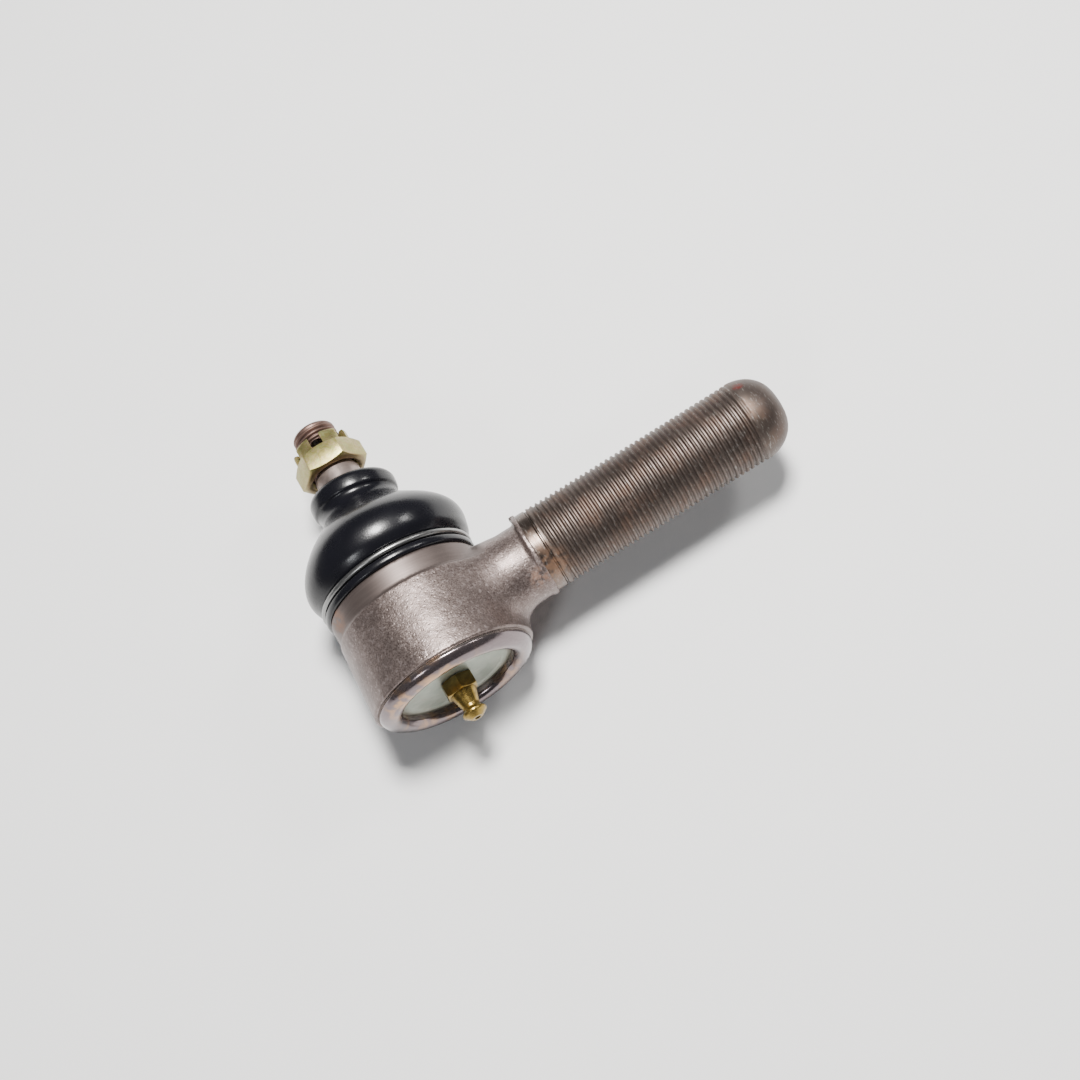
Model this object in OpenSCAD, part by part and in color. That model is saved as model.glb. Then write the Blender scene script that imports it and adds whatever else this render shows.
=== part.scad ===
// Greasable tie rod end with a male-threaded shank.
// The origin is the centre of the ball. The shank points along +X, the stud
// along +Y, and the cover with its grease nipple faces -Y.

/* [Shank] */
// Major diameter of the shank thread
shank_d = 22; // [18:0.5:27]
// Pitch of the shank thread
shank_pitch = 1.5; // [1.25:0.25:2]
// Distance from the ball centre to the tip of the shank
shank_reach = 106; // [88:1:140]
// Distance from the socket's outer wall to the first thread
thread_offset = 14.6; // [12:0.1:22]
// Axial length of the rounded nose on the shank
nose_len = 9.5; // [3:0.5:10]
// Diameter of the flat end of the shank
nose_d = 6; // [5:0.5:16]
// How much the forged neck's radius falls below the shank's
neck_waist = 0.8; // [0.6:0.1:2]
// Drop of the neck's upper side below the turned band, at the socket
neck_drop = 0.1; // [0.1:0.1:2]
// Sideways shift of the forged neck towards the cover
neck_shift = 1; // [0:0.1:2]

/* [Socket] */
// Wall of the socket around the bearing bore, at the cover end
socket_wall = 6.4; // [5:0.1:9]
// How much the socket's radius shrinks towards the stud end
socket_taper = 1.2; // [0:0.1:2]
// Height of the smooth turned band under the boot
band_h = 6.2; // [4:0.1:8]
// Step in radius between the forged body and the turned band
band_step = 0.4; // [0.2:0.1:1]
// Thickness of the socket's roof above the upper bearing
roof_t = 4.7; // [3:0.1:6]
// Wall left around the stud opening to carry the boot
boot_land_wall = 2.5; // [2:0.1:4]
// Height of the boot's land above the turned band
boot_land_h = 2.9; // [2.2:0.1:4]

/* [Bearing] */
// Diameter of the ball
ball_d = 24; // [20:0.5:29]
// Depth of the flat on the bottom of the ball, below the ball centre
ball_flat = 10; // [8:0.1:11]
// Radial thickness of the bearing shells at the ball's equator
race_wall = 4; // [3:0.1:6]
// How far the upper bearing shell stops below the top of the ball
race_drop = 3.5; // [2.5:0.1:5]
// Gap between the two bearing shells
race_gap = 0.5; // [0.2:0.1:1]
// How far the ball's sphere dips below the lower bearing shell
race_floor_dip = 1; // [0.5:0.1:2]
// Clearance between the ball and its bearing shells
ball_clear = 0.06; // [0.02:0.01:0.1]
// Radial clearance of the bearing shells in their bore
race_clear = 0.05; // [0.02:0.01:0.1]
// Largest swing of the stud to any side, in degrees
swing_max = 22; // [10:1:24]
// Clearance between the swung stud and the socket's mouth
swing_clear = 0.4; // [0.3:0.1:1]

/* [Cover] */
// Free height of the disc spring
spring_h = 3.2; // [1.5:0.1:4]
// Thickness of the disc spring
spring_t = 1.2; // [0.8:0.1:1.4]
// Thickness of the end cover
cover_t = 2.8; // [1.5:0.1:4]
// How much wider the cover's radius is than the bearing bore
cover_step = 1.6; // [1:0.1:2.5]
// How far the rolled lip stands over the cover's outer face
lip_h = 3; // [1.5:0.1:5]
// How far the rolled lip reaches in over the cover's rim
lip_overlap = 1.9; // [1:0.1:3]
// Axial height of the lip's outer rounding
lip_round_h = 3.2; // [3:0.1:6]
// Clearance between a part and the face that it is seated on
seat_clear = 0.05; // [0.02:0.01:0.1]

/* [Stud] */
// Diameter of the stud's neck above the ball
stud_neck_d = 11.6; // [10:0.2:12]
// Distance from the ball centre to the large end of the taper
taper_start = 24; // [22:0.5:28]
// Length of the taper
taper_len = 24.6; // [20:0.1:30]
// Length of taper that changes its diameter by one unit
taper_ratio = 8; // [6:1:12]
// Major diameter of the stud's thread
stud_thread_d = 12; // [10:0.5:14.5]
// Pitch of the stud's thread
stud_pitch = 1.25; // [1:0.25:1.75]
// Distance from the taper to the stud's tip
stud_thread_len = 15.4; // [14:0.1:20]
// Radial step between the taper's small end and the thread
taper_step = 0.25; // [0.1:0.05:0.5]
// Diameter of the cotter hole
cotter_d = 3.2; // [2.5:0.1:4]
// Turn of the cotter hole and of the nut about the stud, in degrees
stud_turn = 2; // [0:1:59]

/* [Castle nut] */
// Wall between the nut's thread and its flats
nut_wall = 2.5; // [2.2:0.1:4]
// Height of the nut's hexagon
nut_hex_h = 6.2; // [5:0.1:8]
// Height of the nut's slotted crown
nut_crown_h = 3.8; // [3:0.1:5]
// Wall between the nut's thread and the outside of its crown
nut_crown_wall = 1.9; // [1.4:0.1:2.2]
// Width of the nut's slots
nut_slot_w = 3.4; // [3.2:0.1:4.2]
// Gap between the end of the taper and the nut
nut_gap = 0.3; // [0.2:0.1:4]
// Radial clearance of the nut's bore around the stud's thread
nut_clear = 0.05; // [0.02:0.01:0.1]

/* [Boot] */
// How far the boot's bulge stands out beyond the socket's turned band
boot_bulge_out = 2.2; // [1.5:0.1:5]
// Thickness of the rubber around the bore of the boot's lip
boot_lip_wall = 3.3; // [2.5:0.1:5]
// Height of the boot, from its bead to the top of its lip
boot_h = 32.6; // [30:0.1:35]
// Wall thickness of the boot
boot_wall = 2.3; // [1.5:0.1:3]
// How far the boot's lip is cocked towards the shank, in degrees
boot_cock = 6; // [0:1:14]
// Wire diameter of the boot's clamp ring
clamp_wire_d = 1.6; // [1:0.1:2]
// Radial clearance between the boot and what it sits on
boot_clear = 0.1; // [0.05:0.05:0.3]
// Height of the ring inside the boot's lip
lip_ring_h = 2.4; // [1.5:0.1:3]
// Radial thickness of the ring inside the boot's lip
lip_ring_wall = 1; // [0.6:0.1:1.4]

/* [Grease nipple] */
// Major diameter of the nipple's thread
nipple_thread_d = 6; // [5:0.5:8]
// How far the nipple's flats stand out beyond its thread
nipple_shoulder = 1; // [0.5:0.1:2]
// Height of the nipple's hexagon
nipple_hex_h = 4; // [3:0.1:5]
// Length of the nipple outside the cover
nipple_len = 11.4; // [9:0.1:13]
// Diameter of the nipple's head
nipple_head_d = 6.5; // [6:0.1:7]
// Diameter of the nipple's neck behind its head
nipple_neck_d = 4.8; // [4.6:0.1:5.4]
// Diameter of the grease passage
nipple_bore_d = 2.8; // [2.4:0.1:3]
// Diameter of the nipple's check ball
check_ball_d = 2.4; // [2:0.1:2.6]
// Diameter of the nipple's mouth
nipple_mouth_d = 1.6; // [1.2:0.1:1.8]
// Wire diameter of the check spring
check_wire_d = 0.35; // [0.25:0.05:0.5]

/* [Hidden] */
$fn = 96;

// Radii and levels that follow from the driving sizes
ball_r = ball_d / 2;
bore_r = ball_r + race_wall;
socket_r = bore_r + socket_wall;
race_r = bore_r - race_clear;
race_top = ball_r - race_drop;
seat_r = ball_r + ball_clear;
race_floor = race_floor_dip - ball_r;
cover_in = race_floor - spring_h - 2 * seat_clear;
cover_r = bore_r + cover_step - seat_clear;
cover_out = cover_in - cover_t;
lip_r = cover_r - lip_overlap;
housing_bottom = cover_out - seat_clear - lip_h;
roof_in = race_top + seat_clear;
housing_top = roof_in + roof_t;
land_r = bore_r + boot_land_wall;
band_top = housing_top - boot_land_h;
body_top_r = socket_r - socket_taper;
band_r = body_top_r - band_step;

// Levels along the shank, measured from the ball centre
shank_r = shank_d / 2;
thread_start = socket_r + thread_offset;
thread_end = shank_reach - nose_len;
shank_band = 3.2;
neck_r = shank_r - neck_waist;
collar_len = 0.9;
collar_rise = 0.6;

// Levels along the stud, measured from the ball centre
stud_neck_r = stud_neck_d / 2;
stud_r = stud_thread_d / 2;
taper_end = taper_start + taper_len;
taper_small_r = stud_r + taper_step;
taper_large_r = taper_small_r + taper_len / taper_ratio / 2;
stud_tip = taper_end + stud_thread_len;
stud_neck_end = taper_start - 6;
nut_bottom = taper_end + nut_gap;
nut_h = nut_hex_h + nut_crown_h;
nut_top = nut_bottom + nut_h;
nut_af = stud_thread_d + 2 * nut_wall;
nut_corner_r = nut_af / sqrt(3);
nut_crown_d = stud_thread_d + 2 * nut_crown_wall;
nut_chamfer = 1.1;
cotter_level = nut_top - nut_crown_h / 2;

// Levels of the boot, measured from the ball centre
boot_base = band_top + seat_clear;
boot_base_r = band_r + 0.6;
groove_r = band_r - 0.8;
groove_level = boot_base + 3.3;
clamp_r = groove_r + clamp_wire_d / 2 + boot_clear;
boot_top = boot_base + boot_h;
boot_bulge_r = band_r + boot_bulge_out;
lip_level = boot_top - 2.6;
lip_bore_r = taper_small_r + 2.75;
boot_lip_r = lip_bore_r + boot_lip_wall;
lip_ring_r = lip_bore_r - 0.25;

// Levels of the grease nipple, measured downwards from the cover
nipple_tip = cover_out - nipple_len;
nipple_head_len = 2.6;
nipple_r = nipple_thread_d / 2;
nipple_af = nipple_thread_d + 2 * nipple_shoulder;
check_ball_level = nipple_tip + 0.7 + check_ball_d / 2;
check_travel = 0.6;
check_spring_in = check_ball_level + check_ball_d / 2 + 0.05;
check_spring_len = 6.5;

// Turns a shape that was drawn around Z so that its axis is the stud's axis
module about_stud() {
    rotate([-90, 0, 0]) children();
}

// Turns a shape that was drawn around Z so that its axis is the shank's axis
module about_shank() {
    rotate([0, 90, 0]) children();
}

// Points of an arc around a centre, from one angle to another
function arc(centre, rx, ry, from, to, steps) = [
    for (i = [0:steps]) let (a = from + (to - from) * i / steps)
        centre + [rx * cos(a), ry * sin(a)]
];

// Outline of a screw thread as level rings: [radius, height] points
function thread_rings(r, pitch, from, to) =
    let (
        depth = 0.58 * pitch,
        crest = pitch / 8,
        root = pitch / 5,
        turns = floor((to - from) / pitch)
    )
    [for (i = [0:turns - 1]) let (z = from + i * pitch) each [
        [r, z],
        [r, z + crest],
        [r - depth, z + (pitch + crest - root) / 2],
        [r - depth, z + (pitch + crest + root) / 2],
    ]];

// Radius that the swung stud's neck needs at a height above the ball centre
function mouth_r(y) =
    (y + stud_neck_r * sin(swing_max)) * tan(swing_max)
    + stud_neck_r * cos(swing_max) + swing_clear;

// A point on a smooth curve through four points, between the middle two
function curve_point(a, b, c, d, t) =
    0.5 * (2 * b + (c - a) * t + (2 * a - 5 * b + 4 * c - d) * t * t
    + (3 * b - a - 3 * c + d) * t * t * t);

// A smooth curve through a list of points, with steps pieces in each stretch
function smooth(points, steps) =
    let (n = len(points))
    [for (i = [0:n - 2]) for (k = [0:steps - 1])
        curve_point(
            points[max(i - 1, 0)], points[i], points[i + 1],
            points[min(i + 2, n - 1)], k / steps
        ),
     points[n - 1]];

module forged_housing() {
    color("#8d837c")
    difference() {
        union() {
            about_stud() rotate_extrude() polygon(concat(
                [[0, housing_bottom]],
                [[lip_r + 1.6, housing_bottom]],
                arc(
                    [lip_r + 1.6, housing_bottom + lip_round_h],
                    socket_r - lip_r - 1.6, lip_round_h, -75, 0, 5
                ),
                [[body_top_r, band_top - band_h]],
                [[band_r, band_top - band_h + band_step]],
                [[band_r, band_top]],
                [[land_r, band_top]],
                [[land_r, housing_top]],
                [[0, housing_top]]
            ));
            shank();
        }
        bearing_cavity();
    }
}

// The forged neck, the turned band, the thread and the rounded nose
module shank() {
    neck_start = bore_r + 1;
    neck_end = thread_start - shank_band;
    root_r = band_top - neck_drop + neck_shift;
    translate([0, -neck_shift, 0]) about_shank() translate([0, 0, neck_start])
        cylinder(h = neck_end - neck_start, r1 = root_r, r2 = neck_r);
    about_shank() rotate_extrude() polygon(concat(
        [[0, neck_end - collar_len]],
        [[shank_r + collar_rise, neck_end - collar_len]],
        [[shank_r + collar_rise, neck_end]],
        [[shank_r - 0.1, neck_end]],
        [[shank_r - 0.1, thread_start]],
        thread_rings(shank_r, shank_pitch, thread_start + 0.1, thread_end),
        [[shank_r, thread_end]],
        arc(
            [nose_d / 2, thread_end],
            shank_r - nose_d / 2, nose_len, 15, 90, 5
        ),
        [[0, shank_reach]]
    ));
}

// The stepped bore for the bearings and the cover, and the stud's mouth
module bearing_cavity() {
    about_stud() rotate_extrude() polygon([
        [0, housing_bottom - 1],
        [lip_r + 0.8, housing_bottom - 1],
        [lip_r + 0.8, housing_bottom],
        [lip_r, housing_bottom + 0.8],
        [lip_r, cover_out - seat_clear],
        [cover_r + seat_clear, cover_out - seat_clear],
        [cover_r + seat_clear, cover_in],
        [bore_r, cover_in],
        [bore_r, roof_in],
        [mouth_r(roof_in), roof_in],
        [mouth_r(housing_top), housing_top],
        [mouth_r(housing_top), housing_top + 1],
        [0, housing_top + 1],
    ]);
}

module ball_stud() {
    neck_join = sqrt(ball_r * ball_r - stud_neck_r * stud_neck_r);
    flat_r = sqrt(ball_r * ball_r - ball_flat * ball_flat);
    color("#5b5048")
    difference() {
        union() {
            about_stud() intersection() {
                sphere(r = ball_r);
                translate([0, 0, -ball_flat])
                    cylinder(r = ball_r + 1, h = ball_flat + ball_r);
            }
            about_stud() rotate_extrude() polygon(concat(
                [[0, neck_join - 1]],
                [[stud_neck_r, neck_join - 1]],
                [[stud_neck_r, stud_neck_end]],
                [[taper_large_r, taper_start - 1.5]],
                [[taper_large_r, taper_start]],
                [[taper_small_r, taper_end]],
                [[stud_r - 0.8, taper_end + 0.2]],
                thread_rings(stud_r, stud_pitch, taper_end + 0.6, stud_tip - 2),
                [[stud_r - 0.4, stud_tip - 1.8]],
                arc([stud_r - 2.4, stud_tip - 1.8], 2, 1.8, 10, 90, 4),
                [[0, stud_tip]]
            ));
        }
        cotter_hole();
    }
}

// The cross hole that lines up with a pair of the nut's slots
module cotter_hole() {
    translate([0, cotter_level, 0]) rotate([0, stud_turn, 0])
        cylinder(d = cotter_d, h = 4 * stud_r, center = true);
}

module castle_nut() {
    crown_r = nut_crown_d / 2;
    color("#a39a52")
    translate([0, nut_bottom, 0]) rotate([0, stud_turn, 0]) about_stud()
    difference() {
        union() {
            intersection() {
                cylinder(r = nut_corner_r, h = nut_hex_h, $fn = 6);
                rotate_extrude() polygon([
                    [0, -1],
                    [nut_af / 2 - 0.9, -1],
                    [nut_corner_r + 0.4, nut_chamfer],
                    [nut_corner_r + 0.4, nut_hex_h - nut_chamfer],
                    [crown_r + 0.3, nut_hex_h + 0.2],
                    [0, nut_hex_h + 0.2],
                ]);
            }
            rotate_extrude() polygon([
                [0, 1],
                [crown_r, 1],
                [crown_r, nut_h - 0.7],
                [crown_r - 0.7, nut_h],
                [0, nut_h],
            ]);
        }
        translate([0, 0, -1]) cylinder(r = stud_r + nut_clear, h = nut_h + 2);
        translate([0, 0, -0.5])
            cylinder(r1 = stud_r + 1.4, r2 = stud_r, h = 1.4);
        for (i = [0:2]) rotate([0, 0, 90 + 60 * i])
            translate([-nut_af, -nut_slot_w / 2, nut_hex_h + 0.05])
                cube([2 * nut_af, nut_slot_w, nut_crown_h + 1]);
    }
}

// Height and radius of the boot's outer face, from its bead to its lip
function boot_outside() =
    let (
        bulge = boot_bulge_r,
        lip = boot_lip_r,
        mid = boot_base + 10.7,
        neck = boot_top - 6
    )
    smooth([
        [boot_base, boot_base_r - 0.7],
        [boot_base + 0.6, boot_base_r],
        [boot_base + 1.9, boot_base_r],
        [groove_level - 0.7, groove_r],
        [groove_level + 0.5, groove_r],
        [groove_level + 1.6, band_r + 0.6],
        [mid - 4, bulge - 0.6],
        [mid, bulge],
        [mid + 4.5, bulge - 1.6],
        [mid + 10, lip + 3],
        [neck, lip - 1.3],
        [boot_top - 4.7, lip - 0.5],
        [boot_top - 2.6, lip],
        [boot_top - 0.7, lip - 0.6],
        [boot_top, lip - 1.8],
    ], 2);

// Height and radius of the boot's inner face, from its lip to its bead
function boot_inside() =
    let (
        bulge = boot_bulge_r - boot_wall,
        mid = boot_base + 10.7,
        neck = boot_top - 6
    )
    smooth([
        [boot_top - 0.2, lip_bore_r],
        [neck, lip_bore_r],
        [mid + 9.5, boot_lip_r + 3 - boot_wall],
        [mid + 4, bulge - 1.6],
        [mid - 1, bulge],
        [groove_level + 1.6, land_r + boot_clear + 0.6],
        [boot_base + 2.6, land_r + boot_clear],
        [boot_base, land_r + boot_clear],
    ], 1);

// How far a ring of the boot is cocked at a height, in degrees
function boot_lean(y) =
    let (share = (y - groove_level - 1) / (boot_top - groove_level - 1))
    boot_cock * pow(min(max(share, 0), 1), 0.8);

// One ring of the boot, at its own height, radius and lean
function boot_ring(p, sides) = [
    for (i = [0:sides - 1]) let (a = 360 * i / sides, lean = boot_lean(p[0]))
        [
            p[1] * cos(a) * cos(lean),
            p[0] - p[1] * cos(a) * sin(lean),
            p[1] * sin(a),
        ]
];

module dust_boot() {
    sides = 36;
    outline = concat(boot_outside(), boot_inside());
    rings = len(outline);
    points = [for (p = outline) each boot_ring(p, sides)];
    faces = [for (j = [0:rings - 1]) for (i = [0:sides - 1])
        let (k = (i + 1) % sides, m = (j + 1) % rings) each [
            [j * sides + i, j * sides + k, m * sides + k],
            [j * sides + i, m * sides + k, m * sides + i],
        ]];
    color("#23232b") polyhedron(points, faces, convexity = 6);
}

module boot_clamp_ring() {
    color("#9a9a92")
    translate([0, groove_level, 0]) about_stud()
        rotate_extrude() translate([clamp_r, 0]) circle(d = clamp_wire_d, $fn = 48);
}

module boot_lip_ring() {
    color("#77777a")
    translate([0, lip_level, 0]) rotate([0, 0, -boot_cock]) about_stud()
    difference() {
        cylinder(r = lip_ring_r, h = lip_ring_h, center = true);
        cylinder(r = lip_ring_r - lip_ring_wall, h = lip_ring_h + 1, center = true);
    }
}

module upper_bearing() {
    shell_h = race_top + race_gap / 2;
    color("#b9a98f")
    about_stud() difference() {
        translate([0, 0, race_gap / 2])
            cylinder(r = race_r, h = race_top - race_gap / 2);
        sphere(r = seat_r);
        cylinder(r1 = mouth_r(0), r2 = mouth_r(race_top), h = shell_h);
    }
}

module lower_bearing() {
    color("#a99a82")
    about_stud() difference() {
        translate([0, 0, race_floor])
            cylinder(r = race_r, h = -race_floor - race_gap / 2);
        sphere(r = seat_r);
    }
}

module disc_spring() {
    rim_r = race_r - 0.5;
    eye_r = ball_r * 0.72;
    low = cover_in + seat_clear;
    high = race_floor - seat_clear;
    color("#6b6f75")
    about_stud() rotate_extrude() polygon([
        [eye_r, high - spring_t],
        [rim_r, low],
        [rim_r, low + spring_t],
        [eye_r, high],
    ]);
}

module end_cover() {
    color("#b3b8ae")
    about_stud() difference() {
        translate([0, 0, cover_out]) cylinder(r = cover_r, h = cover_t);
        translate([0, 0, cover_out - 1])
            cylinder(r = nipple_r + seat_clear, h = cover_t + 2);
    }
}

module grease_nipple() {
    head_r = nipple_head_d / 2;
    neck_r = nipple_neck_d / 2;
    hex_end = cover_out - seat_clear - nipple_hex_h;
    head_start = nipple_tip + nipple_head_len;
    color("#9c8a2e")
    about_stud() difference() {
        union() {
            translate([0, 0, hex_end])
                cylinder(r = nipple_af / sqrt(3), h = nipple_hex_h, $fn = 6);
            rotate_extrude() polygon([
                [0, nipple_tip],
                [1.5, nipple_tip],
                [head_r, nipple_tip + 1.3],
                [head_r, nipple_tip + 1.9],
                [neck_r, head_start],
                [neck_r, head_start + 0.8],
                [nipple_af / 2 - 0.3, hex_end],
                [nipple_af / 2 - 0.3, hex_end + 0.5],
                [nipple_r, cover_out - 0.5],
                [nipple_r, cover_in - 0.1],
                [nipple_r - 0.4, cover_in + 0.3],
                [0, cover_in + 0.3],
            ]);
        }
        translate([0, 0, check_ball_level]) cylinder(d = nipple_bore_d, h = 20);
        translate([0, 0, check_ball_level]) sphere(d = nipple_bore_d);
        translate([0, 0, nipple_tip - 1]) cylinder(d = nipple_mouth_d, h = 3);
    }
}

module nipple_check_ball() {
    color("#c9ccd0")
    translate([0, check_ball_level, 0]) sphere(d = check_ball_d);
}

// A short coil spring, swept along its helix
module nipple_check_spring() {
    turns = 6;
    steps = 10;
    sides = 6;
    wire_r = check_wire_d / 2;
    coil_r = nipple_bore_d / 2 - wire_r - 0.1;
    rise = check_spring_len - check_wire_d;
    count = turns * steps;
    points = [for (j = [0:count]) for (i = [0:sides - 1])
        let (a = 360 * j / steps, b = 360 * i / sides, r = coil_r + wire_r * cos(b))
        [
            r * cos(a),
            r * sin(a),
            wire_r + rise * j / count + wire_r * sin(b),
        ]];
    walls = [for (j = [0:count - 1]) for (i = [0:sides - 1])
        let (k = (i + 1) % sides)
        [j * sides + i, j * sides + k, (j + 1) * sides + k, (j + 1) * sides + i]];
    first = [for (i = [0:sides - 1]) sides - 1 - i];
    last = [for (i = [0:sides - 1]) count * sides + i];
    color("#8f949b")
    translate([0, check_spring_in, 0]) about_stud()
        polyhedron(points, concat(walls, [first, last]), convexity = 8);
}

forged_housing();
ball_stud();
castle_nut();
dust_boot();
boot_clamp_ring();
boot_lip_ring();
upper_bearing();
lower_bearing();
disc_spring();
end_cover();
grease_nipple();
nipple_check_ball();
nipple_check_spring();
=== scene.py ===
"""Looks of a greasable tie rod end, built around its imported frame."""

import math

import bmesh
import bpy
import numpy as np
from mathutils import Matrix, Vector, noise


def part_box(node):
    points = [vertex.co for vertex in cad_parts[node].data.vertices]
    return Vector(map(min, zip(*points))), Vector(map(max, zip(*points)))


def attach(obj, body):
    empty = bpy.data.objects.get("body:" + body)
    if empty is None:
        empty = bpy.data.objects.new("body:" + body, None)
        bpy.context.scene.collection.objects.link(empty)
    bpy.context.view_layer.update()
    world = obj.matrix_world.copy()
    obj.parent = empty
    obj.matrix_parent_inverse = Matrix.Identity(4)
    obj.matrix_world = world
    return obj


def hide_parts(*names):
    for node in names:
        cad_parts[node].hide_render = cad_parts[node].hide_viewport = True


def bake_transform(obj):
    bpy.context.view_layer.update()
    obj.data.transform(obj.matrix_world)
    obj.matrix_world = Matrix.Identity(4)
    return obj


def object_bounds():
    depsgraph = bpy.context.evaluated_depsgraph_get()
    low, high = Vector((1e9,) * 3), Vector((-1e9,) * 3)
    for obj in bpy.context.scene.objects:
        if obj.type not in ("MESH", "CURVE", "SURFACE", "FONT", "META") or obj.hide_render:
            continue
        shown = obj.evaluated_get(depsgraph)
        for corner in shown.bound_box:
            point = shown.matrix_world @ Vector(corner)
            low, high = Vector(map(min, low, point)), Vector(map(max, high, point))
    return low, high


bl_info = {
    "name": "Tie Rod End",
    "version": (1, 0, 0),
    "blender": (4, 5, 0),
    "location": "View3D > Sidebar > Tie Rod End",
    "description": "Builds the forging, ball stud, boot and small parts of a tie rod end",
    "category": "Object",
}

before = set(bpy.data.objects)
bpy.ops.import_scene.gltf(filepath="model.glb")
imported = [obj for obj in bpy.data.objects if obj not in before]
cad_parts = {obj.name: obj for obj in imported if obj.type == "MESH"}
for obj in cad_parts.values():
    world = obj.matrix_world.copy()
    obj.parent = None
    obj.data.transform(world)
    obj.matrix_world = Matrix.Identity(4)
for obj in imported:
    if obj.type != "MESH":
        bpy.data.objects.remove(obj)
CAD_BOX = [list(corner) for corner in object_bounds()]

MM = 0.001
STUD = "stud"
SHANK = "shank"


# Node trees


def arithmetic(operation, swapped=False):
    """A method that puts a wire and another value through an operation."""
    def method(self, other):
        return self.maths(operation, *((other, self) if swapped else (self, other)))
    return method


class Wire:
    """A socket of a node tree that takes part in arithmetic."""

    __add__, __radd__ = arithmetic("ADD"), arithmetic("ADD", True)
    __sub__, __rsub__ = arithmetic("SUBTRACT"), arithmetic("SUBTRACT", True)
    __mul__, __rmul__ = arithmetic("MULTIPLY"), arithmetic("MULTIPLY", True)
    __truediv__ = arithmetic("DIVIDE")
    least, most = arithmetic("MINIMUM"), arithmetic("MAXIMUM")

    def __init__(self, tree, socket=None):
        self.tree = tree
        self.socket = socket

    def node(self, kind, settings=None, values=None, output=0):
        """Adds a node: its settings first, then the values or links of its sockets."""
        made = self.tree.nodes.new(kind)
        for name, value in (settings or {}).items():
            setattr(made, name, value)
        for name, value in (values or {}).items():
            if isinstance(value, Wire):
                self.tree.links.new(value.socket, made.inputs[name])
            else:
                made.inputs[name].default_value = value
        return Wire(self.tree, made.outputs[output])

    def maths(self, operation, *values):
        return self.node("ShaderNodeMath", {"operation": operation}, dict(enumerate(values)))

    def alone(self, operation):
        """The result of an operation that takes one value."""
        return self.maths(operation, self)

    def rise(self, low, high):
        """0 below low, 1 above high and smooth between them. It falls if low is above high."""
        if low > high:
            return 1 - self.rise(high, low)
        return self.node(
            "ShaderNodeMapRange", {"interpolation_type": "SMOOTHSTEP"},
            {0: self, 1: low, 2: high, 3: 0.0, 4: 1.0},
        )

    def band(self, low, high, soft):
        """1 between low and high, with edges that are soft wide."""
        return self.rise(low - soft, low + soft) * self.rise(high + soft, high - soft)

    def tint(self, first, second):
        """The first colour where this is 0 and the second where it is 1."""
        values = {0: self}
        for place, colour in ((6, first), (7, second)):
            values[place] = colour if isinstance(colour, Wire) else (*colour, 1.0)
        return self.node("ShaderNodeMix", {"data_type": "RGBA"}, values, output=2)


class Finish(Wire):
    """A material's shader, with the object's own coordinates in millimetres."""

    def __init__(self, name):
        self.material = bpy.data.materials.new(name)
        self.material.use_nodes = True
        super().__init__(self.material.node_tree)
        self.shader = self.tree.nodes["Principled BSDF"]
        place = self.node("ShaderNodeTexCoord", output="Object")
        self.place = self.node(
            "ShaderNodeVectorMath", {"operation": "SCALE"}, {0: place, "Scale": 1 / MM}
        )
        split = self.node("ShaderNodeSeparateXYZ", values={0: self.place})
        self.x = split
        self.y = Wire(self.tree, split.socket.node.outputs[1])
        self.z = Wire(self.tree, split.socket.node.outputs[2])

    def grain(self, size, detail=2.0, roughness=0.5, distortion=0.0, stretch=None):
        """Noise of a size in millimetres, from 0 to 1."""
        place = self.place
        if stretch:
            place = self.node(
                "ShaderNodeVectorMath", {"operation": "MULTIPLY"}, {0: place, 1: stretch}
            )
        return self.node(
            "ShaderNodeTexNoise", {"noise_dimensions": "3D"},
            {
                "Vector": place, "Scale": 1 / size, "Detail": detail,
                "Roughness": roughness, "Distortion": distortion,
            },
        )

    def pits(self, size):
        """Distance to the nearest of points scattered at a size in millimetres."""
        return self.node(
            "ShaderNodeTexVoronoi", {"feature": "F1"},
            {"Vector": self.place, "Scale": 1 / size, "Randomness": 1.0},
        )

    def around(self, axis):
        """Distance from the stud's or the shank's axis, in millimetres."""
        one, two = (self.x, self.z) if axis == STUD else (self.y, self.z)
        return (one * one + two * two).alone("SQRT")

    def spot(self, centre, radius, soft=0.5):
        """1 inside a ball around a point in millimetres, fading at its edge."""
        away = self.node(
            "ShaderNodeVectorMath", {"operation": "DISTANCE"}, {0: self.place, 1: centre},
            output="Value",
        )
        return away.rise(radius * (1 + soft), radius * (1 - soft))

    def bump(self, height, depth):
        """A bump of a depth in millimetres."""
        return self.node(
            "ShaderNodeBump",
            values={"Height": height, "Distance": depth * MM, "Strength": 1.0},
        )

    def paint(self, colour, roughness, **others):
        """Gives the shader its values and links, and returns the material."""
        for socket, value in {"Base_Color": colour, "Roughness": roughness, **others}.items():
            target = self.shader.inputs[socket.replace("_", " ")]
            if isinstance(value, Wire):
                self.tree.links.new(value.socket, target)
            else:
                target.default_value = value
        return self.material


# Mesh makers


def rounded(corners, steps=5):
    """An outline from (radius, height, rounding) corners, in millimetres."""
    outline = []
    count = len(corners)
    for i, corner in enumerate(corners):
        here = Vector(corner[:2])
        size = corner[2] if len(corner) > 2 else 0
        if not size:
            outline.append(tuple(here))
            continue
        back = Vector(corners[i - 1][:2]) - here
        on = Vector(corners[(i + 1) % count][:2]) - here
        half = back.angle(on) / 2
        reach = min(size / math.tan(half), back.length * 0.49, on.length * 0.49)
        start = here + back.normalized() * reach
        end = here + on.normalized() * reach
        for k in range(steps + 1):
            t = k / steps
            outline.append(tuple(start.lerp(here, t).lerp(here.lerp(end, t), t)))
    return outline


def arc(centre, radii, start, end, steps):
    """Points of an arc in (radius, height), between two angles in degrees."""
    return [
        (
            centre[0] + radii[0] * math.cos(math.radians(start + (end - start) * i / steps)),
            centre[1] + radii[1] * math.sin(math.radians(start + (end - start) * i / steps)),
        )
        for i in range(steps + 1)
    ]


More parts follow.
